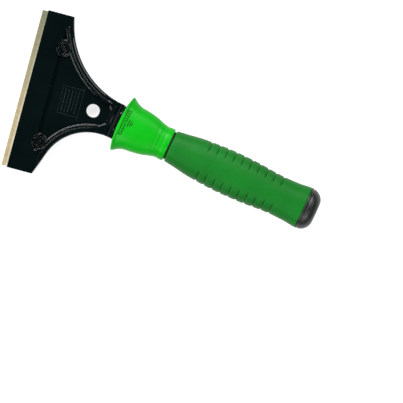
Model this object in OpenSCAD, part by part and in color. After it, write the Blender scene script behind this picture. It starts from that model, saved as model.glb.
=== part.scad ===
// Hand-held scraper with a wide clamped blade and a skewed, flanged handle.
// It lies flat: Z = 0 is the plane under the clamp plate and the grip,
// +Y runs from the cutting edge to the butt of the handle, +X along the blade.

/* [Blade] */
// Length of the blade along its cutting edge
blade_w = 100; // [96:1:100]
// Depth of the blade from one cutting edge to the other
blade_d = 16; // [15:0.5:17]
// Thickness of the blade
blade_t = 0.6; // [0.4:0.1:0.8]
// Width of the ground bevel along each edge
bevel_w = 2.5; // [1.6:0.1:3.2]
// How far the blade stands out of the jaws
blade_reach = 3.9; // [3:0.1:6]

/* [Head] */
// Width of the head across the jaws
head_w = 101; // [101:0.5:106]
// Distance from the cutting edge to the back corners of the bar
bar_back = 20; // [19:0.5:21]
// Height of the bar's top face
bar_top = 9.5; // [9:0.1:10.5]
// Height of the recessed panel's top face
panel_top = 6.9; // [6.5:0.1:7.5]
// Height of the recessed panel's underside
panel_base = 4.3; // [4:0.1:4.8]
// Height of the lower edge of the stiffening skirt
skirt_base = 1.5; // [1:0.1:2]
// Radius of the concave edge on the -X side
edge_r_left = 54.4; // [53.5:0.1:55.5]
// Radius of the concave edge on the +X side
edge_r_right = 30.7; // [30:0.1:31.5]
// Width of the ledge outside each raised rib
ledge_w = 3.1; // [2.4:0.1:3.6]
// Width of each raised rib
rib_w = 1.7; // [1.2:0.1:2.2]
// Radius of the hanging hole
hang_r = 4.1; // [3.5:0.1:4.6]

/* [Clamp] */
// Thickness of the clamp plate
plate_t = 3.5; // [3.2:0.1:4]
// Distance of each clamp screw from the middle
screw_x = 30.1; // [28:0.1:32]
// Distance of the clamp screws from the cutting edge
screw_y = 19.1; // [18.5:0.1:19.5]
// Radius of a clamp screw's scalloped head
screw_head_r = 3.75; // [3.5:0.05:3.9]
// Radius of the well round each screw head
well_r = 4.2; // [4.1:0.05:4.4]
// Radius of the screw's M4 thread
thread_r = 2; // [1.8:0.1:2]
// Number of scallops round a screw head
scallops = 8; // [6:1:12]

/* [Handle] */
// Angle by which the handle is skewed towards +X
skew = 9.9; // [6:0.1:12]
// Width of the neck where it enters the collar
neck_w = 21; // [19:0.5:22]
// Height of the neck where it enters the collar
neck_h = 11; // [11:0.5:12]
// Height of the handle's axis above the resting plane
axis_z = 11; // [11:0.1:12]
// Half width of the flange
flange_w = 17.9; // [16:0.1:19]
// Length of the front collar
collar_l = 34; // [32:0.5:36]
// Length from the flange to the start of the end cap
grip_end = 126; // [118:1:132]
// Length of the end cap's visible dome
cap_l = 8.2; // [6:0.2:10]

/* [Hidden] */
$fn = 64;
eps = 0.01;

// where the handle's axis leaves the head, seen from above
neck_x = 5.5;
neck_y = 64.5;

// blade and jaw levels
seat_z = plate_t + blade_t;
bevel_flat = 0.06;
blade_play = 0.05;

// circles that cut the two concave edges
centre_left = [-59.15, bar_back + edge_r_left];
centre_right = [46.5, bar_back + 3.6 + edge_r_right];
right_corner = [head_w / 2, bar_back];
tangent_dist = norm(centre_right - right_corner);
tangent_len = sqrt(pow(tangent_dist, 2) - pow(edge_r_right, 2));
tangent_turn = asin(edge_r_right / tangent_dist);
tangent_dir = atan2(centre_right.y - right_corner.y, centre_right.x - right_corner.x) + tangent_turn;
right_tangent = right_corner + tangent_len * [cos(tangent_dir), sin(tangent_dir)];

// recess of the panel
bar_step = 17.3;
ledge_drop = 0.8;
rim_w = 1.2;
rim_drop = 0.35;
ramp_low = bar_top - ledge_drop - rim_drop - 0.3;
wedge_x = [35, 46];
recess_end = -7.5;
recess_half = 4.7;
open_half = 60;
boss_r = 4.9;
plate_back = 24.2;
skirt_start = plate_back + 0.6;
skirt_wall = 4.4;

// blank label field that stands off the panel: corner, width and depth
label = [-8, 25, 18, 13.4];
label_t = 0.2;

// clamp screw stack, from the top down
well_floor = 6.3;
washer_t = 0.6;
washer_r = 3.6;
screw_head_h = bar_top - well_floor - washer_t;
slot_w = 1.1;
slot_d = 1.1;
slot_turn_left = 38;
slot_turn_right = -22;
scallop_r = 0.8;
screw_end = 0.1;
clip_groove_r = 1.6;
clip_z = plate_t + 0.5;
clip_t = 0.6;
clip_r = 3.5;
clip_pocket_r = 4;
clip_pocket_h = 1.4;
bush_r = 3;
run_gap = 0.05;
bush_gap = 0.12;
nut_side = 7;
nut_h = 2.2;
nut_z = 0.25;
pocket_gap = 0.1;

// handle core and tang, as widths and heights of rounded sections
core = [15, 13];
core_r = 4;
hollow = [10.6, 8.2];
tang = [10.4, 8];
fit_gap = 0.1;
neck_in = 3;
core_start = neck_in + 0.2;
core_end = grip_end + 0.8;
tang_end = 42;
ring_t = 1.2;
ring_size = [18.4, 18];
core_screw_s = [12, 30, 70, 100];
core_screw_r = 1.25;
core_head_r = 2.6;
core_head_h = 1.5;
boss_post_r = 2.8;
spigot_l = 12;
sweep_back = 1.7;
ring_sides = 40;
ring_step = 3;

// profiles along the handle: distance, half width, half height
collar_profile = [[0, flange_w - 0.9, axis_z - 0.8], [0.6, flange_w, axis_z],
                  [2.2, flange_w - 0.6, axis_z - 0.2], [5.5, 15.6, 10.2],
                  [9.5, 14.3, 9.7], [15, 13.7, 9.4], [22, 12.3, 9.2],
                  [29, 10.8, 9.2], [collar_l, 10.1, 9.3]];
grip_start = collar_l + ring_t;
grip_profile = [[grip_start, 10.1, 9.3], [grip_start + 3, 10.6, 9.6],
                [52, 12.6, 10.5], [70, 13.8, axis_z], [88, 13.6, axis_z],
                [106, 12.4, 10.6], [118, 12.6, 10.8], [grip_end, 13.5, axis_z]];
cap_rings = 10;
cap_turn = 82;
cap_flat = 0.45;
butt = grip_profile[len(grip_profile) - 1];

// how far along the handle, and how full, the end cap's dome is at one of its rings
function dome_reach(i) = grip_end + cap_l * sin(cap_turn * i / cap_rings) / sin(cap_turn);
function dome_size(i) = cap_flat + (1 - cap_flat) * cos(cap_turn * i / cap_rings);

overall_l = neck_y + max([for (i = [0 : cap_rings])
    dome_reach(i) * cos(skew) + butt[1] * dome_size(i) * sin(skew)]);

// ---- helpers ----

// moves the design from the cutting edge to the middle of the length
module placed() {
    translate([0, -overall_l / 2, 0]) children();
}

// puts children in the handle's frame: +Y along the handle, Z = 0 on its axis
module on_handle() {
    translate([neck_x, neck_y, axis_z]) rotate([0, 0, -skew]) children();
}

module at_screws() {
    for (side = [-1, 1]) translate([side * screw_x, screw_y, 0]) children();
}

module rounded_rect(size, r) {
    square([size.x - 2 * r, size.y], center = true);
    square([size.x, size.y - 2 * r], center = true);
    for (sx = [-1, 1], sy = [-1, 1])
        translate([sx * (size.x / 2 - r), sy * (size.y / 2 - r)]) circle(r);
}

// a bar of rounded section along the handle, from s0 to s1
module handle_bar(size, r, s0, s1) {
    translate([0, s1, 0]) rotate([90, 0, 0]) linear_extrude(s1 - s0) rounded_rect(size, r);
}

module handle_block(size, s0, s1) {
    translate([-size.x / 2, s0, -size.y / 2]) cube([size.x, s1 - s0, size.y]);
}

function sgn_pow(v, e) = sign(v) * pow(abs(v), e);

// one rounded ring across the handle; swept moves its sides back
function ring_points(s, hw, hh, swept) =
    [for (i = [0 : ring_sides - 1]) let (a = 360 * i / ring_sides)
        [hw * sgn_pow(cos(a), 0.86), s + swept * pow(cos(a), 2), hh * sgn_pow(sin(a), 0.86)]];

// Catmull-Rom value through rows i-1 .. i+2 of one column
function curve(rows, i, t, col) =
    let (p0 = rows[max(i - 1, 0)][col], p1 = rows[i][col], p2 = rows[i + 1][col],
         p3 = rows[min(i + 2, len(rows) - 1)][col])
    0.5 * (2 * p1 + (p2 - p0) * t + (2 * p0 - 5 * p1 + 4 * p2 - p3) * t * t
           + (3 * p1 - 3 * p2 + p3 - p0) * t * t * t);

function span_steps(rows, i) = max(1, round((rows[i + 1][0] - rows[i][0]) / ring_step));

function smooth_rows(rows) = concat(
    [for (i = [0 : len(rows) - 2]) for (k = [0 : span_steps(rows, i) - 1])
        let (t = k / span_steps(rows, i))
        [rows[i][0] + (rows[i + 1][0] - rows[i][0]) * t, curve(rows, i, t, 1),
         min(axis_z, curve(rows, i, t, 2))]],
    [rows[len(rows) - 1]]);

function middle(ring) = [0, min([for (p = ring) p.y]), 0];

// closed skin through a list of rings, each with ring_sides points, and a fan at each end
module skin(rings) {
    n = ring_sides;
    last = len(rings) - 1;
    hub = len(rings) * n;
    polyhedron(
        points = concat([for (r = rings) for (p = r) p], [middle(rings[0]), middle(rings[last])]),
        faces = concat(
            [for (i = [0 : n - 1]) [hub, (i + 1) % n, i]],
            [for (i = [0 : n - 1]) [hub + 1, last * n + i, last * n + (i + 1) % n]],
            [for (r = [0 : last - 1]) for (i = [0 : n - 1]) let (j = (i + 1) % n)
                for (f = [[r * n + i, (r + 1) * n + j, (r + 1) * n + i],
                          [r * n + i, r * n + j, (r + 1) * n + j]]) f]));
}

// ---- head ----

module head_plan() {
    difference() {
        polygon([[-head_w / 2, blade_reach], [head_w / 2, blade_reach], right_corner,
                 right_tangent, [right_tangent.x, neck_y - 1], [neck_w, neck_y + 1],
                 [-head_w / 2, neck_y + 1]]);
        translate(centre_left) circle(edge_r_left, $fn = 180);
        translate(centre_right) circle(edge_r_right, $fn = 120);
        // the head ends square to the skewed handle
        translate([neck_x, neck_y]) rotate(-skew) translate([-40, -eps]) square([100, 30]);
    }
}

// area inside both raised ribs; grow moves its edge towards the silhouette, and
// half is half the width that its far end keeps between two cut-off corners
module rib_field(grow, y0, end, half) {
    intersection() {
        difference() {
            translate([-60, y0]) square([120, 80]);
            translate(centre_left) circle(edge_r_left + ledge_w + rib_w - grow, $fn = 180);
            translate(centre_right) circle(edge_r_right + ledge_w + rib_w - grow, $fn = 120);
        }
        translate([neck_x, neck_y]) rotate(-skew)
            polygon([[-half, end], [half, end], [open_half, end + half - open_half], [open_half, -100],
                     [-open_half, -100], [-open_half, end + half - open_half]]);
    }
}

// neck block that rises from the ledges to the bar's height, and then up to the collar
module neck_rise() {
    ramp_from = -18;
    rise_from = -6;
    ramp_steps = 8;
    steps = 14;
    top = neck_h + panel_base - 0.3;
    on_handle() translate([-20, 0, -axis_z]) rotate([90, 0, 90]) linear_extrude(40)
        polygon(concat(
            [for (i = [0 : ramp_steps - 1]) let (t = i / ramp_steps)
                [ramp_from + (rise_from - ramp_from) * t,
                 ramp_low + (bar_top - ramp_low) * (1 - cos(180 * t)) / 2]],
            [for (i = [0 : steps]) let (t = i / steps)
                [rise_from * (1 - t), bar_top + (top - bar_top) * sin(90 * t)]],
            [[neck_in, top], [neck_in, top - neck_h], [-3, panel_base - 0.3],
             [ramp_from, skirt_base]]));
}

// wedges that lift both ledges to the bar's height at its ends
module ledge_ends() {
    translate([0, neck_y, 0]) rotate([90, 0, 0]) linear_extrude(neck_y - bar_step + 1)
        for (side = [-1, 1]) scale([side, 1])
            polygon([[head_w, skirt_base], [head_w, bar_top], [wedge_x[1], bar_top],
                     [wedge_x[0], ramp_low], [wedge_x[0], skirt_base]]);
}

module screw_well() {
    translate([0, 0, well_floor]) cylinder(h = 10, r = well_r);
    cylinder(h = 20, r = bush_r + 0.02);
    translate([0, 0, -eps]) cylinder(h = plate_t + clip_pocket_h + eps, r = clip_pocket_r);
}

module head_body() {
    color([0.07, 0.09, 0.09]) placed() difference() {
        union() {
            // the plan up to the rim, then the ledge inside the rim, then the bar and ribs
            translate([0, 0, skirt_base]) linear_extrude(bar_top - ledge_drop - rim_drop - skirt_base)
                head_plan();
            translate([0, 0, panel_top]) linear_extrude(bar_top - ledge_drop - panel_top) difference() {
                head_plan();
                translate(centre_left) circle(edge_r_left + rim_w, $fn = 180);
            }
            translate([0, 0, panel_top]) linear_extrude(bar_top - panel_top) intersection() {
                head_plan();
                union() {
                    translate([-60, 0]) square([120, bar_step]);
                    rib_field(rib_w, bar_step - eps, 0, open_half);
                }
            }
            intersection() {
                ledge_ends();
                linear_extrude(30) head_plan();
            }
            intersection() {
                neck_rise();
                linear_extrude(30) union() {
                    head_plan();
                    translate([neck_x, neck_y]) rotate(-skew) translate([-neck_w / 2 + 0.05, -1])
                        square([neck_w - 0.1, 10]);
                }
            }
            on_handle() handle_block(tang, -2, tang_end);
        }
        // panel recess in the top face, leaving the bosses round the screws
        translate([0, 0, panel_top]) linear_extrude(20) difference() {
            rib_field(0, bar_step, recess_end, recess_half);
            at_screws() circle(boss_r);
        }
        // hollow in the underside, inside the skirt
        translate([0, 0, -eps]) linear_extrude(panel_base + eps)
            rib_field(ledge_w + rib_w - skirt_wall, skirt_start + 3, recess_end - 3, open_half);
        // room for the clamp plate and the blade
        translate([-80, -1, -eps]) cube([160, skirt_start + 1, plate_t + eps]);
        translate([-80, -1, -eps]) cube([160, blade_d + blade_play + 1, seat_z + eps]);
        at_screws() screw_well();
        translate([neck_x - 2.73, neck_y - 17.8, -1]) cylinder(h = 30, r = hang_r);
        on_handle() for (s = [core_screw_s[0], core_screw_s[1]])
            translate([0, s, -axis_z]) cylinder(h = 30, r = core_screw_r + 0.25);
    }
    color([0.07, 0.09, 0.09]) placed()
        translate([label.x, label.y, panel_top - eps]) cube([label[2], label[3], label_t]);
}

// ---- blade and clamp ----

module scraper_blade() {
    color([0.72, 0.69, 0.5]) placed()
        translate([-blade_w / 2, 0, plate_t]) rotate([90, 0, 90]) linear_extrude(blade_w)
            polygon([[0, (blade_t - bevel_flat) / 2], [bevel_w, 0], [blade_d - bevel_w, 0],
                     [blade_d, (blade_t - bevel_flat) / 2], [blade_d, (blade_t + bevel_flat) / 2],
                     [blade_d - bevel_w, blade_t], [bevel_w, blade_t],
                     [0, (blade_t + bevel_flat) / 2]]);
}

module clamp_plate() {
    plate_w = head_w - 1;
    front = blade_reach + 0.3;
    lead = 2.6;
    color([0.1, 0.11, 0.11]) placed() difference() {
        intersection() {
            translate([-plate_w / 2, 0, 0]) rotate([90, 0, 90]) linear_extrude(plate_w)
                polygon([[front, plate_t - 0.7], [front, plate_t], [plate_back, plate_t],
                         [plate_back, 0.8], [plate_back - 0.8, 0], [front + lead, 0]]);
            linear_extrude(plate_t) head_plan();
        }
        at_screws() {
            translate([0, 0, -1]) cylinder(h = 10, r = thread_r + 0.15);
            pocket = nut_side + 2 * pocket_gap;
            translate([-pocket / 2, -pocket / 2, -1]) cube([pocket, pocket, nut_z + nut_h + 1]);
        }
    }
}

module plate_nuts() {
    color([0.7, 0.7, 0.72]) placed() at_screws() difference() {
        translate([-nut_side / 2, -nut_side / 2, nut_z]) cube([nut_side, nut_side, nut_h]);
        translate([0, 0, -1]) cylinder(h = 10, r = thread_r + run_gap);
    }
}

module clamp_screw(x, slot_turn) {
    color([0.13, 0.14, 0.14]) placed() translate([x, screw_y, 0]) difference() {
        union() {
            difference() {
                translate([0, 0, bar_top - screw_head_h]) cylinder(h = screw_head_h, r = screw_head_r);
                for (i = [0 : scallops - 1]) rotate(i * 360 / scallops)
                    translate([screw_head_r + scallop_r / 3, 0, 0]) cylinder(h = 20, r = scallop_r, $fn = 24);
            }
            translate([0, 0, screw_end]) cylinder(h = bar_top - screw_head_h - screw_end + eps, r = thread_r);
        }
        rotate(slot_turn) translate([-10, -slot_w / 2, bar_top - slot_d]) cube([20, slot_w, 5]);
        translate([0, 0, clip_z - run_gap]) difference() {
            cylinder(h = clip_t + 2 * run_gap, r = 5);
            translate([0, 0, -1]) cylinder(h = 5, r = clip_groove_r);
        }
    }
}

module clamp_screw_left() {
    clamp_screw(-screw_x, slot_turn_left);
}

module clamp_screw_right() {
    clamp_screw(screw_x, slot_turn_right);
}

module screw_washers() {
    color([0.6, 0.6, 0.62]) placed() at_screws() translate([0, 0, well_floor]) difference() {
        cylinder(h = washer_t, r = washer_r);
        translate([0, 0, -1]) cylinder(h = 5, r = thread_r + bush_gap);
    }
}

module screw_bushings() {
    base = plate_t + clip_pocket_h;
    color([0.75, 0.62, 0.3]) placed() at_screws() translate([0, 0, base]) difference() {
        cylinder(h = well_floor - base, r = bush_r);
        translate([0, 0, -1]) cylinder(h = 5, r = thread_r + bush_gap);
    }
}

// split ring that keeps a screw in the head
module retaining_clip(x) {
    color([0.55, 0.55, 0.58]) placed() translate([x, screw_y, clip_z]) difference() {
        cylinder(h = clip_t, r = clip_r);
        translate([0, 0, -1]) cylinder(h = 5, r = clip_groove_r + 0.02);
        translate([-1.3, 0, -1]) cube([2.6, 10, 5]);
    }
}

module retaining_clip_left() {
    retaining_clip(-screw_x);
}

module retaining_clip_right() {
    retaining_clip(screw_x);
}

// ---- handle ----

// the whole core; its halves are cut from it along the handle's axis
module core_whole() {
    difference() {
        handle_bar(core, core_r, core_start, core_end);
        handle_block(hollow, core_start - 1, core_end + 1);
    }
}

module core_posts() {
    for (s = [core_screw_s[2], core_screw_s[3]])
        translate([0, s, -hollow.y / 2 - 0.5]) cylinder(h = hollow.y + 1, r = boss_post_r);
}

module core_screw_holes() {
    for (s = core_screw_s) translate([0, s, 0]) {
        translate([0, 0, -20]) cylinder(h = 20 + core.y / 2 - 0.8, r = core_screw_r + 0.02);
        translate([0, 0, -core.y / 2 - 1]) cylinder(h = 1 + core_head_h, r = core_head_r + 0.1);
    }
}

module core_upper() {
    color([0.12, 0.12, 0.13]) placed() on_handle() difference() {
        union() {
            core_whole();
            core_posts();
        }
        translate([-20, -10, -30]) cube([40, 200, 30]);
        core_screw_holes();
    }
}

module core_lower() {
    color([0.1, 0.1, 0.11]) placed() on_handle() difference() {
        union() {
            core_whole();
            core_posts();
        }
        translate([-20, -10, 0]) cube([40, 200, 30]);
        core_screw_holes();
    }
}

module core_screws() {
    color([0.6, 0.6, 0.63]) placed() on_handle() for (s = core_screw_s) translate([0, s, 0]) {
        translate([0, 0, -core.y / 2]) difference() {
            cylinder(h = core_head_h, r = core_head_r);
            translate([-0.35, -5, -1]) cube([0.7, 10, 1.6]);
        }
        translate([0, 0, -core.y / 2 + core_head_h - eps])
            cylinder(h = core.y - core_head_h - 1 + eps, r = core_screw_r);
    }
}

module front_collar() {
    rows = smooth_rows(collar_profile);
    color([0.1, 0.72, 0.15]) placed() on_handle() difference() {
        skin([for (r = rows) ring_points(r[0], r[1], r[2],
            sweep_back * max(0, 1 - r[0] / 9))]);
        // mouth for the neck, then the way through for the core
        translate([-neck_w / 2 - fit_gap, -1, panel_base - 0.3 - axis_z - fit_gap])
            cube([neck_w + 2 * fit_gap, 1 + neck_in + 0.1, neck_h + 2 * fit_gap]);
        handle_bar([for (v = core) v + 2 * fit_gap], core_r + fit_gap, 1, collar_l + 1);
    }
}

module spacer_ring() {
    color([0.05, 0.06, 0.05]) placed() on_handle() difference() {
        handle_bar(ring_size, 8.6, collar_l, collar_l + ring_t);
        handle_bar([for (v = core) v + 2 * fit_gap], core_r + fit_gap, collar_l - 1, collar_l + 3);
    }
}

module rear_grip() {
    rows = smooth_rows(grip_profile);
    color([0.08, 0.55, 0.13]) placed() on_handle() difference() {
        skin([for (r = rows) ring_points(r[0], r[1], r[2], 0)]);
        handle_bar([for (v = core) v + 2 * fit_gap], core_r + fit_gap, grip_start - 1, grip_end + 1);
    }
}

module end_cap() {
    color([0.07, 0.09, 0.09]) placed() on_handle() {
        difference() {
            skin([for (i = [0 : cap_rings])
                ring_points(dome_reach(i), butt[1] * dome_size(i), butt[2] * dome_size(i), 0)]);
            handle_bar([for (v = core) v + 2 * fit_gap], core_r + fit_gap, grip_end - 1, core_end + 0.1);
        }
        handle_block(tang, core_end - spigot_l, core_end + 1);
    }
}

head_body();
scraper_blade();
clamp_plate();
plate_nuts();
clamp_screw_left();
clamp_screw_right();
screw_washers();
screw_bushings();
retaining_clip_left();
retaining_clip_right();
core_upper();
core_lower();
core_screws();
front_collar();
spacer_ring();
rear_grip();
end_cap();
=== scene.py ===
"""Hand-held floor scraper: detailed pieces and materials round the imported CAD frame."""
import math

import bmesh
import bpy
import numpy as np
from mathutils import Matrix, Vector


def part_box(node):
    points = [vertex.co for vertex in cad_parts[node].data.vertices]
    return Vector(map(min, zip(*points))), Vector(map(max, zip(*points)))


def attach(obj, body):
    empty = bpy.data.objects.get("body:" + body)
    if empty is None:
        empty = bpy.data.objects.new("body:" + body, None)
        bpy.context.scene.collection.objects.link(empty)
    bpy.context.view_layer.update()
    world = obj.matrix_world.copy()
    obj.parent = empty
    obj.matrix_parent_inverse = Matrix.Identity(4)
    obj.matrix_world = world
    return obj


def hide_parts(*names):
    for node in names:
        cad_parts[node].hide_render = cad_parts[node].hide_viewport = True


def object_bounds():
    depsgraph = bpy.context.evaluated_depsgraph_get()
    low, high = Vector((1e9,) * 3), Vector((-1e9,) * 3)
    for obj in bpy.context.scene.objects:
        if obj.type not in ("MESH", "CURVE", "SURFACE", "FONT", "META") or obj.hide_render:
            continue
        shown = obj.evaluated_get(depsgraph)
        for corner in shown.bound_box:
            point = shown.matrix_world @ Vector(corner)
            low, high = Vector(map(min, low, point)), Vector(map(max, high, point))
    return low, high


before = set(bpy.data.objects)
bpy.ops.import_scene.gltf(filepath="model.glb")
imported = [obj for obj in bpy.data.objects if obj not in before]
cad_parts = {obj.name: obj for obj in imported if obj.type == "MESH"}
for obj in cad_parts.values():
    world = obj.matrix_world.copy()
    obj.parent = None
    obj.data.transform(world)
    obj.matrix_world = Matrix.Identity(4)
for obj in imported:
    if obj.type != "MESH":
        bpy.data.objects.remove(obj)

MM = 0.001
cad_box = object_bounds()

# ---- places taken from the frame ----

BLADE_LO, BLADE_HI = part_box("scraper_blade")
EDGE_Y = BLADE_LO.y                         # the cutting edge
BEVEL_W = 2.5 * MM                          # ground width of the cutting bevel
SKEW = math.radians(9.9)                    # the handle leans this far towards +X
NECK = Vector((5.5 * MM, EDGE_Y + 64.5 * MM, 11 * MM))   # the handle's axis at the flange
HANDLE = Matrix.Translation(NECK) @ Matrix.Rotation(-SKEW, 4, "Z")

PANEL_TOP = 6.9                             # height of the recessed panel, in mm
LABEL_Y = 25.0                              # the label starts this far from the cutting edge, in mm

# ---- the main view, which looks straight down with the blade at the left ----

VIEW_ROLL = math.radians(15)
VIEW_RIGHT = Vector((-math.sin(VIEW_ROLL), math.cos(VIEW_ROLL), 0))
VIEW_UP = Vector((-math.cos(VIEW_ROLL), -math.sin(VIEW_ROLL), 0))
FLOOR_GLOW = 0.8            # keeps the floor white with only faint shadows

# ---- mesh helpers ----


def new_object(name, mesh):
    obj = bpy.data.objects.new(name, mesh)
    bpy.context.scene.collection.objects.link(obj)
    return obj


def smooth(obj):
    obj.data.polygons.foreach_set("use_smooth", [True] * len(obj.data.polygons))
    return obj


def apply_modifiers(obj):
    depsgraph = bpy.context.evaluated_depsgraph_get()
    mesh = bpy.data.meshes.new_from_object(obj.evaluated_get(depsgraph))
    obj.modifiers.clear()
    obj.data = mesh
    return obj


def copy_of(node, name):
    """A new object with a welded copy of a CAD node's mesh."""
    bm = bmesh.new()
    bm.from_mesh(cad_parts[node].data)
    bmesh.ops.remove_doubles(bm, verts=bm.verts, dist=0.5e-6)
    mesh = bpy.data.meshes.new(name)
    bm.to_mesh(mesh)
    bm.free()
    return new_object(name, mesh)


def moulded(obj, voxel, passes):
    """Turns sharp CAD edges into the small fillets of a moulding."""
    remesh = obj.modifiers.new("remesh", "REMESH")
    remesh.mode = "VOXEL"
    remesh.voxel_size = voxel * MM
    relax = obj.modifiers.new("relax", "SMOOTH")
    relax.factor = 0.5
    relax.iterations = passes
    return smooth(apply_modifiers(obj))


def shell(name, rings, closed):
    """Quads between rings of points, all of one length; closed joins the last ring to the first."""
    count, sides = len(rings), len(rings[0])
    points = np.concatenate(rings)
    faces = []
    for r in range(count if closed else count - 1):
        a, b = r * sides, ((r + 1) % count) * sides
        for i in range(sides):
            j = (i + 1) % sides
            faces.append((a + i, b + i, b + j, a + j))
    if not closed:
        faces.append(tuple(range(sides)))
        faces.append(tuple(reversed(range((count - 1) * sides, count * sides))))
    mesh = bpy.data.meshes.new(name)
    mesh.from_pydata([tuple(p) for p in points * MM], [], faces)
    mesh.update()
    bm = bmesh.new()
    bm.from_mesh(mesh)
    bmesh.ops.recalc_face_normals(bm, faces=bm.faces)
    bm.to_mesh(mesh)
    bm.free()
    return smooth(new_object(name, mesh))


def even_angles(half_w, half_h, power, sides):
    """Angles that space a superellipse's points evenly along its outline."""
    a = np.linspace(0, 2 * math.pi, 4001)
    c, d = np.cos(a), np.sin(a)
    x = half_w * np.sign(c) * np.abs(c) ** power
    z = half_h * np.sign(d) * np.abs(d) ** power
    along = np.concatenate([[0], np.cumsum(np.hypot(np.diff(x), np.diff(z)))])
    return np.interp(np.arange(sides) * along[-1] / sides, along, a)


def ring(s, half_w, half_h, power=0.86, lift=0.0, swept=0.0, sides=240):
    """One rounded ring across the handle, in mm in the handle's frame."""
    a = even_angles(half_w, half_h, power, sides)
    c, d = np.cos(a), np.sin(a)
    x = half_w * np.sign(c) * np.abs(c) ** power
    z = half_h * np.sign(d) * np.abs(d) ** power + lift
    return np.stack([x, s + swept * c * c, z], 1)


def smooth_profile(rows, step):
    """Catmull-Rom rows between a few (s, half width, half height) rows."""
    out = []
    for i in range(len(rows) - 1):
        p0, p1 = np.array(rows[max(i - 1, 0)]), np.array(rows[i])
        p2, p3 = np.array(rows[i + 1]), np.array(rows[min(i + 2, len(rows) - 1)])
        n = max(1, round((p2[0] - p1[0]) / step))
        for k in range(n):
            t = k / n
            p = 0.5 * (2 * p1 + (p2 - p0) * t + (2 * p0 - 5 * p1 + 4 * p2 - p3) * t * t
                       + (3 * p1 - 3 * p2 + p3 - p0) * t ** 3)
            out.append((p1[0] + (p2[0] - p1[0]) * t, p[1], p[2]))
    out.append(tuple(rows[-1]))
    return out


def bump(value, half, soft):
    """1 inside +-half, falling to 0 over soft."""
    t = np.clip((half + soft - np.abs(value)) / soft, 0, 1)
    return t * t * (3 - 2 * t)


def place_on_handle(obj):
    obj.data.transform(HANDLE)
    return obj


# ---- material helpers ----


class Nodes:
    """A material's node tree, with short calls for what each finish needs."""

    def __init__(self, name):
        self.material = bpy.data.materials.new(name)
        self.material.use_nodes = True
        self.tree = self.material.node_tree
        self.shader = self.tree.nodes["Principled BSDF"]
        self.coords = self.tree.nodes.new("ShaderNodeTexCoord").outputs["Object"]

    def link(self, a, b):
        self.tree.links.new(a, b)

    def noise(self, scale, detail=4.0, stretch=None, rough=0.55):
        node = self.tree.nodes.new("ShaderNodeTexNoise")
        node.inputs["Scale"].default_value = scale
        node.inputs["Detail"].default_value = detail
        node.inputs["Roughness"].default_value = rough
        source = self.coords
        if stretch:
            mapping = self.tree.nodes.new("ShaderNodeMapping")
            mapping.inputs["Scale"].default_value = stretch
            self.link(source, mapping.inputs["Vector"])
            source = mapping.outputs["Vector"]
        self.link(source, node.inputs["Vector"])
        return node.outputs["Fac"]

    def ramp(self, value, stops):
        """A blend between two (position, colour) stops."""
        node = self.tree.nodes.new("ShaderNodeValToRGB")
        elements = node.color_ramp.elements
        for element, (at, colour) in zip(elements, stops):
            element.position = at
            element.color = (*colour, 1.0)
        self.link(value, node.inputs["Fac"])
        return node.outputs["Color"]

    def remap(self, value, low, high, from_low=0.3, from_high=0.7):
        node = self.tree.nodes.new("ShaderNodeMapRange")
        node.inputs["From Min"].default_value = from_low
        node.inputs["From Max"].default_value = from_high
        node.inputs["To Min"].default_value = low
        node.inputs["To Max"].default_value = high
        self.link(value, node.inputs["Value"])
        return node.outputs["Result"]

    def mix(self, factor, a, b):
        node = self.tree.nodes.new("ShaderNodeMix")
        node.data_type = "RGBA"
        self.link(factor, node.inputs["Factor"])
        for socket, value in ((node.inputs[6], a), (node.inputs[7], b)):
            if isinstance(value, tuple):
                socket.default_value = (*value, 1.0)
            else:
                self.link(value, socket)
        return node.outputs[2]

    def pointiness(self):
        """Below 0.5 in hollows and above 0.5 on ridges."""
        return self.tree.nodes.new("ShaderNodeNewGeometry").outputs["Pointiness"]

    def bumps(self, *layers):
        """Adds (height, strength, distance in mm) bump layers."""
        normal = None
        for height, strength, distance in layers:
            node = self.tree.nodes.new("ShaderNodeBump")
            node.inputs["Strength"].default_value = strength
            node.inputs["Distance"].default_value = distance * MM
            self.link(height, node.inputs["Height"])
            if normal:
                self.link(normal, node.inputs["Normal"])
            normal = node.outputs["Normal"]
        self.link(normal, self.shader.inputs["Normal"])

    def set(self, **sockets):
        for name, value in sockets.items():
            self.shader.inputs[name.replace("_", " ")].default_value = value


def moulded_plastic(name, low, high, rough, cloud_scale, grain, specular=0.5, groove_shade=0.0):
    """Moulded plastic: slow colour drift, uneven gloss, moulding waves and a fine grain.

    rough is the lowest and highest roughness, grain is its scale and strength, and the last argument
    sets how dark a painted shade makes the bottoms of its grooves.
    """
    n = Nodes(name)
    drift = n.noise(cloud_scale, 3)
    flow = n.noise(1.0, 4, stretch=(260, 60, 260))
    base = n.mix(n.remap(flow, 0.0, 0.35), n.ramp(drift, [(0.3, low), (0.7, high)]), low)
    # Painted shade: the base colour darkens in hollows and groove bottoms, where pointiness is low.
    if groove_shade:
        hollow_shade = n.remap(n.pointiness(), groove_shade, 0.0, 0.46, 0.498)
        base = n.mix(hollow_shade, base, tuple(v * 0.15 for v in low))
    n.link(base, n.shader.inputs["Base Color"])
    scuffs = n.remap(n.noise(420, 6, rough=0.7), rough[0], rough[1])
    n.link(scuffs, n.shader.inputs["Roughness"])
    n.set(Specular_IOR_Level=specular)
    n.bumps((drift, 0.1, 0.25), (n.noise(grain[0], 2), grain[1], 0.05))
    return n.material


def ground_steel(name, low, high, rough, stretch):
    """Ground or plated steel with grinding lines along one axis."""
    n = Nodes(name)
    lines = n.noise(1.0, 6, stretch=stretch, rough=0.7)
    film = n.noise(60, 4)
    base = n.mix(n.remap(film, 0.0, 0.6), n.ramp(lines, [(0.25, low), (0.75, high)]), low)
    n.link(base, n.shader.inputs["Base Color"])
    n.link(n.remap(lines, rough[0], rough[1]), n.shader.inputs["Roughness"])
    n.set(Metallic=1.0)
    n.bumps((lines, 0.15, 0.02))
    return n.material


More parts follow.
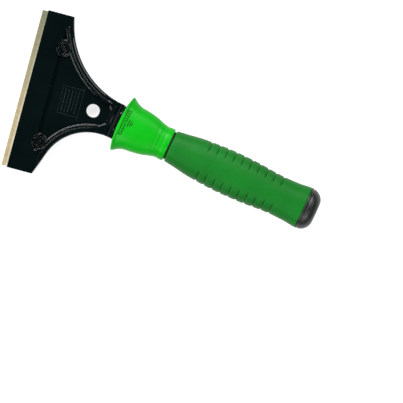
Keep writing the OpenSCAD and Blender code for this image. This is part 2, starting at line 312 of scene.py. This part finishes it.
def blade_steel():
    """Blade strip: an oiled, tanned ground bevel and a light ground flat, greyer at the -X end; the flat's
    light colour is partly a painted highlight for the sheen of the steel.
    """
    n = Nodes("blade_steel")
    grind = n.noise(1.0, 5, stretch=(1500, 260, 900), rough=0.65)
    tan = n.ramp(grind, [(0.3, (0.25, 0.2, 0.105)), (0.7, (0.34, 0.275, 0.155))])
    olive = n.ramp(grind, [(0.3, (0.08, 0.085, 0.04)), (0.7, (0.12, 0.125, 0.062))])
    # Partly painted highlight: the flat behind the bevel is coloured light for the ground steel's sheen as
    # well as its own colour.
    ground_flat_and_sheen = n.ramp(grind, [(0.3, (0.43, 0.38, 0.27)), (0.7, (0.53, 0.47, 0.34))])
    dull = n.ramp(grind, [(0.3, (0.115, 0.125, 0.075)), (0.7, (0.16, 0.17, 0.105))])
    place = n.tree.nodes.new("ShaderNodeSeparateXYZ")
    n.link(n.coords, place.inputs["Vector"])
    third = (BLADE_HI.x - BLADE_LO.x) / 3
    along = n.remap(place.outputs["X"], 0.0, 1.0, BLADE_LO.x, BLADE_HI.x - third)
    step = 0.15 * MM
    behind = n.remap(place.outputs["Y"], 0.0, 1.0, EDGE_Y + BEVEL_W - step, EDGE_Y + BEVEL_W + step)
    colour = n.mix(behind, n.mix(along, olive, tan), n.mix(along, dull, ground_flat_and_sheen))
    stain = n.remap(n.noise(70, 5), 0.0, 0.25, 0.45, 0.7)
    n.link(n.mix(stain, colour, (0.16, 0.145, 0.09)), n.shader.inputs["Base Color"])
    n.link(n.remap(grind, 0.4, 0.55), n.shader.inputs["Roughness"])
    n.set(Metallic=0.2)
    n.bumps((grind, 0.25, 0.02))
    return n.material


def make_materials():
    head = dict(rough=(0.1, 0.17), cloud_scale=45, grain=(2600, 0.04), specular=0.38)
    return {
        "head": moulded_plastic("head_black", (0.0005, 0.0018, 0.0019), (0.0009, 0.0032, 0.0034), **head),
        "core": moulded_plastic("core_black", (0.006, 0.006, 0.007), (0.012, 0.012, 0.013),
                                (0.5, 0.7), 60, (1800, 0.2)),
        "cap": moulded_plastic("cap_black", (0.0014, 0.0026, 0.0026), (0.003, 0.0045, 0.0045),
                               (0.34, 0.44), 50, (1900, 0.2)),
        "screw": moulded_plastic("screw_black", (0.0006, 0.0014, 0.0014), (0.0012, 0.0024, 0.0024),
                                 (0.08, 0.14), 300, (2600, 0.03)),
        "label": moulded_plastic("label_black", (0.004, 0.008, 0.008), (0.007, 0.013, 0.013),
                                 (0.2, 0.3), 200, (2600, 0.1)),
        # The collar and the grip get a painted shade in their grooves.
        "collar": moulded_plastic("collar_green", (0.0015, 0.235, 0.004), (0.003, 0.315, 0.007),
                                  (0.3, 0.4), 38, (2300, 0.05), specular=0.13, groove_shade=0.95),
        "grip": moulded_plastic("grip_green", (0.0015, 0.09, 0.006), (0.003, 0.125, 0.01),
                                (0.42, 0.55), 34, (1700, 0.2), specular=0.13, groove_shade=0.6),
        "rubber": moulded_plastic("ring_rubber", (0.002, 0.006, 0.002), (0.004, 0.01, 0.004),
                                  (0.6, 0.75), 90, (1500, 0.2), specular=0.3),
        "blade": blade_steel(),
        "zinc": ground_steel("zinc_steel", (0.42, 0.43, 0.45), (0.6, 0.6, 0.62),
                             (0.3, 0.45), (300, 300, 60)),
        "brass": ground_steel("bushing_brass", (0.5, 0.34, 0.12), (0.66, 0.47, 0.2),
                              (0.28, 0.4), (200, 200, 900)),
    }


MATERIALS = make_materials()


def finish_piece(obj, material, body, slot, *nodes):
    """Gives a new piece its material and body, and hides the CAD nodes that it stands for; the slot argument
    is not used.
    """
    obj.data.materials.clear()
    obj.data.materials.append(MATERIALS[material])
    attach(obj, body)
    if nodes:
        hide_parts(*nodes)


def coat_node(node, material):
    """Gives a carried-over CAD node a procedural material."""
    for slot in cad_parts[node].material_slots:
        slot.material = MATERIALS[material]


# ---- head, jaw and screws ----


def make_head():
    head = moulded(copy_of("head_body", "head_shell"), 0.25, 10)
    finish_piece(head, "head", "tool", "head_plastic", "head_body")


def strip(bm, start, end, width, base, height):
    """A low raised strip with sloping sides, between two points in mm."""
    a, b = Vector((*start, 0)), Vector((*end, 0))
    along = (b - a).normalized()
    side = Vector((-along.y, along.x, 0))
    corners = []
    foot, shoulder, top = base, base + height * 0.7, base + height
    for z, half in ((foot, width / 2), (shoulder, width / 2 - 0.03), (top, width / 2 - 0.1)):
        lift = Vector((0, 0, z))
        ends = [(a, -1, -1), (b, 1, -1), (b, 1, 1), (a, -1, 1)]
        corners.append([bm.verts.new((p + along * (k * half) + side * (q * half) + lift) * MM)
                        for p, k, q in ends])
    for low, high in zip(corners, corners[1:]):
        for i in range(4):
            bm.faces.new((low[i], low[(i + 1) % 4], high[(i + 1) % 4], high[i]))
    bm.faces.new(corners[-1])
    bm.faces.new(corners[0][::-1])


def make_panel_relief():
    """A blank label: a thin frame, rows of short dashes and a rail, standing on the panel."""
    bm = bmesh.new()
    x0, x1, y0, y1 = -7.6, 9.6, LABEL_Y + 0.4, LABEL_Y + 12.9
    for start, end in (((x0, y0), (x1, y0)), ((x1, y0), (x1, y1)), ((x0, y0), (x0, y1))):
        strip(bm, start, end, 0.4, PANEL_TOP, 0.55)
    strip(bm, (-10.2, LABEL_Y + 13.3), (11.6, LABEL_Y + 13.3), 0.42, PANEL_TOP - 0.05, 0.4)
    for row in range(5):
        y = y0 + 1.9 + 2.1 * row
        x = x0 + 1.6
        for k in range(6):
            length = 0.9 + 1.1 * abs(math.sin(2.3 * k + 1.7 * row))
            if x + length > x1 - 1.2:
                break
            strip(bm, (x, y), (x + length, y), 0.6 if row % 2 else 0.8, PANEL_TOP + 0.1, 0.4)
            x += length + 0.9
    mesh = bpy.data.meshes.new("panel_relief")
    bm.to_mesh(mesh)
    bm.free()
    relief = new_object("panel_relief", mesh)
    relief.data.transform(Matrix.Translation((0, EDGE_Y, 0)))
    finish_piece(relief, "label", "tool", "head_plastic")


def make_jaw():
    jaw = moulded(copy_of("clamp_plate", "jaw_shell"), 0.3, 4)
    finish_piece(jaw, "head", "clamp", "head_plastic", "clamp_plate")


def make_screw(side):
    node = f"clamp_screw_{side}"
    screw = moulded(copy_of(node, f"slotted_screw_{side}"), 0.1, 9)
    finish_piece(screw, "screw", f"screw_{side}", "screw_black", node)


# ---- handle ----

COLLAR_L = 34.0
RING_T = 1.2
GRIP_END = 126.0
CAP_L = 8.2
HALF_H = 11                 # half height of the handle, which is also its axis's height
FACE_H = 10.98              # the collar's relief is clipped here, just inside that height
CORE_HALF = (7.6, 6.6)      # half size of the way through for the core
CORE_POWER = 0.45           # roundness of that way through; a smaller number is squarer
MOUTH_HALF = (10.6, 5.6)    # half size of the mouth that takes the neck
MOUTH_LIFT = -1.5           # the mouth sits this far off the handle's axis
BLOCK_X = -1.1              # middle of the row of raised blocks on the flange
BLOCK_PITCH = 1.72
RELIEF_H = 0.5              # depth of the trays in the collar's face
COLLAR_PROFILE = [(0, 17.2, 10.4), (0.5, 17.9, 11), (1.5, 17.8, 10.9), (2.6, 17.1, 10.6),
                  (5.5, 15.5, 10.2), (9.5, 14.3, 9.7), (15, 13.7, 9.4), (21, 12.6, 9.2),
                  (26, 11.0, 9.0), (29.5, 10.3, 8.9), (31.2, 10.5, 9.2), (33.4, 10.5, 9.3),
                  (COLLAR_L, 10.1, 9.0)]
GRIP_START = COLLAR_L + RING_T
GRIP_PROFILE = [(GRIP_START, 9.7, 9.0), (GRIP_START + 0.8, 10.3, 9.4), (GRIP_START + 3, 10.6, 9.6),
                (52, 12.6, 10.5), (70, 13.8, 11), (88, 13.6, 11), (106, 12.4, 10.6),
                (118, 12.6, 10.8), (GRIP_END - 0.6, 13.4, 10.95), (GRIP_END, 13.0, 10.6)]


def sleeve(name, outer, inner):
    """A closed tube: outer rings from front to back, then inner rings from back to front."""
    return shell(name, outer + inner[::-1], closed=True)


def box_bump(x, s, centre, half, soft=0.16):
    """1 on a small rectangle of the collar's face, falling to 0 just outside it."""
    return bump(x - centre[0], half[0], soft) * bump(s - centre[1], half[1], soft)


def collar_relief(x, s):
    """A tray of raised blocks along the flange, three sunken bars behind it, one mark at the waist."""
    tray = box_bump(x, s, (BLOCK_X, 3.45), (7.9, 1.2))
    blocks = [box_bump(x, s, (BLOCK_X + BLOCK_PITCH * k, 3.45), (0.46, 0.72)) for k in range(-4, 5)]
    bars = [box_bump(x, s, (BLOCK_X - 0.6, 5.9 + 1.15 * k), (2.4 - 0.7 * k, 0.22)) for k in range(3)]
    mark = box_bump(x, s, (0.5, 32.3), (0.5, 0.9), 0.25)
    return RELIEF_H * (np.max(blocks, axis=0) - tray - np.max(bars, axis=0)) + 0.25 * mark


def collar_bands(x, s):
    """Two shallow grip bands across the waist, strongest on top."""
    return 0.16 * (bump(s - 24.6, 0.35, 0.7) + bump(s - 27.2, 0.35, 0.7)) * bump(x, 6, 5)


def make_collar():
    outer = []
    for s, w, h in smooth_profile(COLLAR_PROFILE, 0.2):
        points = ring(s, w, min(h, HALF_H), swept=1.7 * max(0.0, 1 - s / 9), sides=560)
        lip = 0.4 * bump(s - 0.95, 0.35, 0.45)
        x, face = points[:, 0], points[:, 2] > 0
        points[:, 2] += lip * np.sign(points[:, 2]) * (np.abs(points[:, 2]) < 10.55)
        points[:, 2] += np.where(face, collar_relief(x, s) - collar_bands(x, s), 0)
        points[:, 2] = np.clip(points[:, 2], -FACE_H, FACE_H)
        outer.append(points)
    mouth = dict(power=0.2, lift=MOUTH_LIFT, sides=560)
    inner = [ring(s, *MOUTH_HALF, **mouth) for s in (0.0, 0.4, 1.2, 2.2, 3.1)]
    inner += [ring(s, *CORE_HALF, power=CORE_POWER, sides=560) for s in (3.12, 10, 20, 30, COLLAR_L)]
    collar = place_on_handle(sleeve("front_collar_shell", outer, inner))
    finish_piece(collar, "collar", "tool", "collar_green", "front_collar")


def make_spacer():
    outer = []
    for k in range(7):
        t = k / 6 * 2 - 1
        bulge = 0.45 * (1 - t * t)
        outer.append(ring(COLLAR_L + RING_T / 2 * (1 + t), 8.75 + bulge, 8.15 + bulge, sides=160))
    inner = [ring(s, *CORE_HALF, power=CORE_POWER, sides=160) for s in (COLLAR_L, COLLAR_L + RING_T)]
    spacer = place_on_handle(sleeve("rubber_spacer", outer, inner))
    finish_piece(spacer, "rubber", "tool", "seal_rubber", "spacer_ring")


def make_grip():
    groove_at = [58 + 5.5 * k for k in range(10)]
    outer = []
    for s, w, h in smooth_profile(GRIP_PROFILE, 0.45):
        points = ring(s, w, min(h, HALF_H), sides=280)
        angle = np.arctan2(points[:, 2] / h, points[:, 0] / w)
        flank = bump(np.abs(np.cos(angle)) - 1, 0.34, 0.3)
        depth = 0.55 * sum(bump(s - g, 0.25, 0.8) for g in groove_at)
        scale = 1 - depth * flank / w
        points[:, 0] *= scale
        points[:, 2] *= scale
        outer.append(points)
    inner = [ring(s, *CORE_HALF, power=CORE_POWER, sides=280) for s in np.linspace(GRIP_START, GRIP_END, 12)]
    grip = place_on_handle(sleeve("soft_grip", outer, inner))
    finish_piece(grip, "grip", "tool", "grip_green", "rear_grip")


def make_cap():
    rings = []
    turn = math.radians(82)     # how far round the dome goes before its flat end
    steps = 36
    for k in range(steps + 1):
        a = turn * k / steps
        full = 0.45 + 0.55 * math.cos(a)
        s = GRIP_END + CAP_L * math.sin(a) / math.sin(turn)
        groove = 0.35 * float(bump(np.array(s - GRIP_END - 1.6), 0.25, 0.3))
        rings.append(ring(s, 13.5 * full - groove, HALF_H * full - groove, sides=200))
    end = rings[-1]
    centre = end.mean(0)
    for dish in (0.94, 0.86, 0.5, 0.1):
        sunk = centre + (end - centre) * dish
        sunk[:, 1] -= 0.35 * (1 - dish) * 2
        rings.append(sunk)
    cap = place_on_handle(shell("butt_cap", rings, closed=False))
    finish_piece(cap, "cap", "tool", "cap_plastic", "end_cap")


# ---- stage ----


def make_floor():
    mesh = bpy.data.meshes.new("floor")
    half = 3
    mesh.from_pydata([(-half, -half, 0), (half, -half, 0), (half, half, 0), (-half, half, 0)],
                     [], [(0, 1, 2, 3)])
    floor = new_object("floor", mesh)
    floor.location.z = cad_box[0].z
    n = Nodes("pale_floor")
    n.link(n.ramp(n.noise(3, 2), [(0.3, (0.27, 0.27, 0.27)), (0.7, (0.3, 0.3, 0.3))]),
           n.shader.inputs["Base Color"])
    n.set(Roughness=0.8, Specular_IOR_Level=0.1)
    n.set(Emission_Color=(1, 1, 1, 1), Emission_Strength=FLOOR_GLOW)
    floor.data.materials.append(n.material)


def add_softbox(name, azimuth, elevation, distance, size, power):
    """An area light that faces the head, azimuth 0 standing on the image's right and 90 at its top."""
    light = bpy.data.lights.new(name, "AREA")
    light.shape = "RECTANGLE"
    light.size, light.size_y = size
    light.energy = power
    obj = bpy.data.objects.new(name, light)
    bpy.context.scene.collection.objects.link(obj)
    a, e = math.radians(azimuth), math.radians(elevation)
    flat = VIEW_RIGHT * math.cos(a) + VIEW_UP * math.sin(a)
    towards = flat * math.cos(e) + Vector((0, 0, math.sin(e)))
    obj.location = Vector((0, EDGE_Y / 2, 0)) + towards * distance
    obj.rotation_mode = "QUATERNION"
    obj.rotation_quaternion = towards.to_track_quat("Z", "Y")


def make_lights():
    add_softbox("key", 112, 47, 1.5, (1.3, 0.4), 36)
    add_softbox("left", 195, 42, 1.6, (1.0, 0.4), 20)
    add_softbox("right", 28, 45, 1.6, (1.2, 0.4), 12)
    add_softbox("low", 290, 45, 1.6, (1.2, 0.35), 12)
    world = bpy.data.worlds.new("studio")
    bpy.context.scene.world = world
    world.use_nodes = True
    background = world.node_tree.nodes["Background"].inputs
    background["Color"].default_value = (1, 1, 1, 1)
    background["Strength"].default_value = 0.03
    bpy.context.scene.view_settings.view_transform = "Standard"


def make_camera():
    """Looks straight down, rolled so that the blade stands at the left and the handle runs right."""
    view_w = 251.3 * MM
    height = 1.6
    sensor_w = 36
    aim = Vector((39.9 * MM, EDGE_Y + 126.5 * MM, BLADE_LO.z))
    data = bpy.data.cameras.new("camera")
    data.sensor_width = sensor_w
    data.lens = sensor_w * height / view_w
    data.clip_start, data.clip_end = 0.01, 20
    camera = bpy.data.objects.new("camera", data)
    bpy.context.scene.collection.objects.link(camera)
    turn = Matrix((VIEW_RIGHT, VIEW_UP, Vector((0, 0, 1)))).transposed()
    camera.matrix_world = Matrix.Translation(aim + Vector((0, 0, height))) @ turn.to_4x4()
    bpy.context.scene.camera = camera


make_camera()
make_lights()
make_floor()
make_head()
make_panel_relief()
make_jaw()
make_screw("left")
make_screw("right")
make_collar()
make_spacer()
make_grip()
make_cap()
coat_node("scraper_blade", "blade")
coat_node("plate_nuts", "zinc")
coat_node("screw_washers", "zinc")
coat_node("screw_bushings", "brass")
coat_node("retaining_clip_left", "zinc")
coat_node("retaining_clip_right", "zinc")
coat_node("core_upper", "core")
coat_node("core_lower", "core")
coat_node("core_screws", "zinc")
